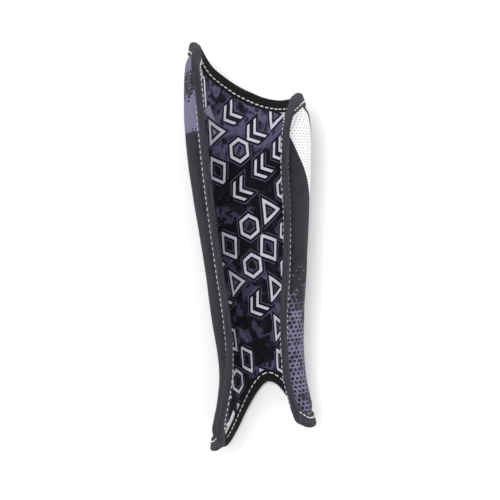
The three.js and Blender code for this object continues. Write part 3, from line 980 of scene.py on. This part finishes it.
class SHINGUARD_OT_bindings(bpy.types.Operator):
    """Make the four lengths of tape that bind the rim"""
    bl_idname = "shinguard.bindings"
    bl_label = "Bindings"

    def execute(self, context):
        rim = RimFrame(sizes().mesh_step)
        # One dark tape in two copies: painted light on the side tapes, painted shade on the top and the
        # instep tape
        finishes = {
            "charcoal_tape": tape_finish("charcoal_tape", colours().charcoal, 1.5),
            "black_tape": tape_finish("black_tape", colours().shaded_tape_colour, 1.7),
        }
        for name, picked in tape_stretches(rim).items():
            slot = tape_slot(name)
            make_tape(name, rim, picked, finishes[slot])
        return {"FINISHED"}


class SHINGUARD_OT_stitches(bpy.types.Operator):
    """Sew each tape with white thread on both faces"""
    bl_idname = "shinguard.stitches"
    bl_label = "Stitches"

    def execute(self, context):
        rim = RimFrame(sizes().mesh_step)
        thread = thread_finish(colours())
        for name, picked in tape_stretches(rim).items():
            for face, face_sign in (("outside", 1), ("inside", -1)):
                make_stitches(f"{name}_stitches_{face}", rim, picked, face_sign, thread)
        return {"FINISHED"}


def soft_light(name, place, aim, size, power):
    """A square soft lamp that points at a place."""
    lamp = bpy.data.lights.new(name, "AREA")
    lamp.shape = "SQUARE"
    lamp.size = size
    lamp.energy = power
    holder = bpy.data.objects.new(name, lamp)
    holder.location = place
    holder.rotation_euler = (Vector(aim) - Vector(place)).to_track_quat("-Z", "Y").to_euler()
    bpy.context.scene.collection.objects.link(holder)


def place_camera():
    """Put the camera before the guard's open side, as the guard lies."""
    turn, roll = CAMERA_TURN, CAMERA_ROLL
    ahead = Vector((-math.sin(turn), math.cos(turn), 0))
    right = Vector((math.cos(turn), math.sin(turn), 0))
    up = Vector((0, 0, 1))
    picture_right = right * math.cos(roll) - up * math.sin(roll)
    picture_up = right * math.sin(roll) + up * math.cos(roll)
    axes = Matrix([REST_TURN @ way for way in (picture_right, picture_up, -ahead)]).transposed().to_4x4()
    place = REST_TURN @ (CAMERA_AIM - ahead * CAMERA_DISTANCE) + REST_SHIFT
    data = bpy.data.cameras.new("camera")
    data.sensor_width = SENSOR_WIDTH
    data.lens = CAMERA_LENS
    camera = bpy.data.objects.new("camera", data)
    camera.matrix_world = Matrix.Translation(place) @ axes
    bpy.context.scene.collection.objects.link(camera)
    bpy.context.scene.camera = camera


class SHINGUARD_OT_stage(bpy.types.Operator):
    """Set out the plain floor, the soft studio light and the camera"""
    bl_idname = "shinguard.stage"
    bl_label = "Stage"

    def execute(self, context):
        mesh = bpy.data.meshes.new("floor")
        corners = [(x * FLOOR_HALF, y * FLOOR_HALF, 0) for x, y in ((-1, -1), (1, -1), (1, 1), (-1, 1))]
        mesh.from_pydata(corners, [], [(0, 1, 2, 3)])
        finish = Finish("floor")
        shader = finish.node("ShaderNodeBsdfPrincipled", None, {
            "Base Color": (*colours().floor, 1), "Roughness": 0.8, "Specular IOR Level": 0.1})
        finish.node("ShaderNodeOutputMaterial", None, {"Surface": shader})
        mesh.materials.append(finish.material)
        floor = bpy.data.objects.new("floor", mesh)
        context.scene.collection.objects.link(floor)
        world = bpy.data.worlds.new("studio")
        world.use_nodes = True
        backdrop = world.node_tree.nodes["Background"]
        backdrop.inputs["Color"].default_value = (1, 1, 1, 1)
        backdrop.inputs["Strength"].default_value = SKY_STRENGTH
        context.scene.world = world
        context.scene.view_settings.view_transform = "Standard"
        soft_light("key", place=(-0.25, 0.25, 1.7), aim=LAMP_AIM, size=0.9, power=19.0)
        soft_light("fill", place=(1.1, -0.3, 1.0), aim=LAMP_AIM, size=1.4, power=6.0)
        place_camera()
        return {"FINISHED"}


class SHINGUARD_PT_panel(bpy.types.Panel):
    """Lists the steps that make the shin guard"""
    bl_idname = "SHINGUARD_PT_panel"
    bl_label = "Shin Guard"
    bl_space_type = "VIEW_3D"
    bl_region_type = "UI"
    bl_category = "Shin Guard"

    def draw(self, context):
        for settings in (context.scene.shin_guard_sizes, context.scene.shin_guard_colours):
            box = self.layout.box()
            for name in type(settings).__annotations__:
                box.prop(settings, name)
        for step in STEPS:
            self.layout.operator(step.bl_idname)


STEPS = (SHINGUARD_OT_stage, SHINGUARD_OT_cover, SHINGUARD_OT_lining, SHINGUARD_OT_bindings,
         SHINGUARD_OT_stitches)
CLASSES = (GuardSizes, GuardColours, *STEPS, SHINGUARD_PT_panel)


def register():
    for kind in CLASSES:
        bpy.utils.register_class(kind)
    bpy.types.Scene.shin_guard_sizes = bpy.props.PointerProperty(type=GuardSizes)
    bpy.types.Scene.shin_guard_colours = bpy.props.PointerProperty(type=GuardColours)


def unregister():
    del bpy.types.Scene.shin_guard_colours
    del bpy.types.Scene.shin_guard_sizes
    for kind in reversed(CLASSES):
        bpy.utils.unregister_class(kind)


def main():
    """Build the guard and its stage."""
    register()
    bpy.ops.shinguard.stage()
    bpy.ops.shinguard.cover()
    bpy.ops.shinguard.lining()
    bpy.ops.shinguard.bindings()
    bpy.ops.shinguard.stitches()


if __name__ == "__main__":
    main()
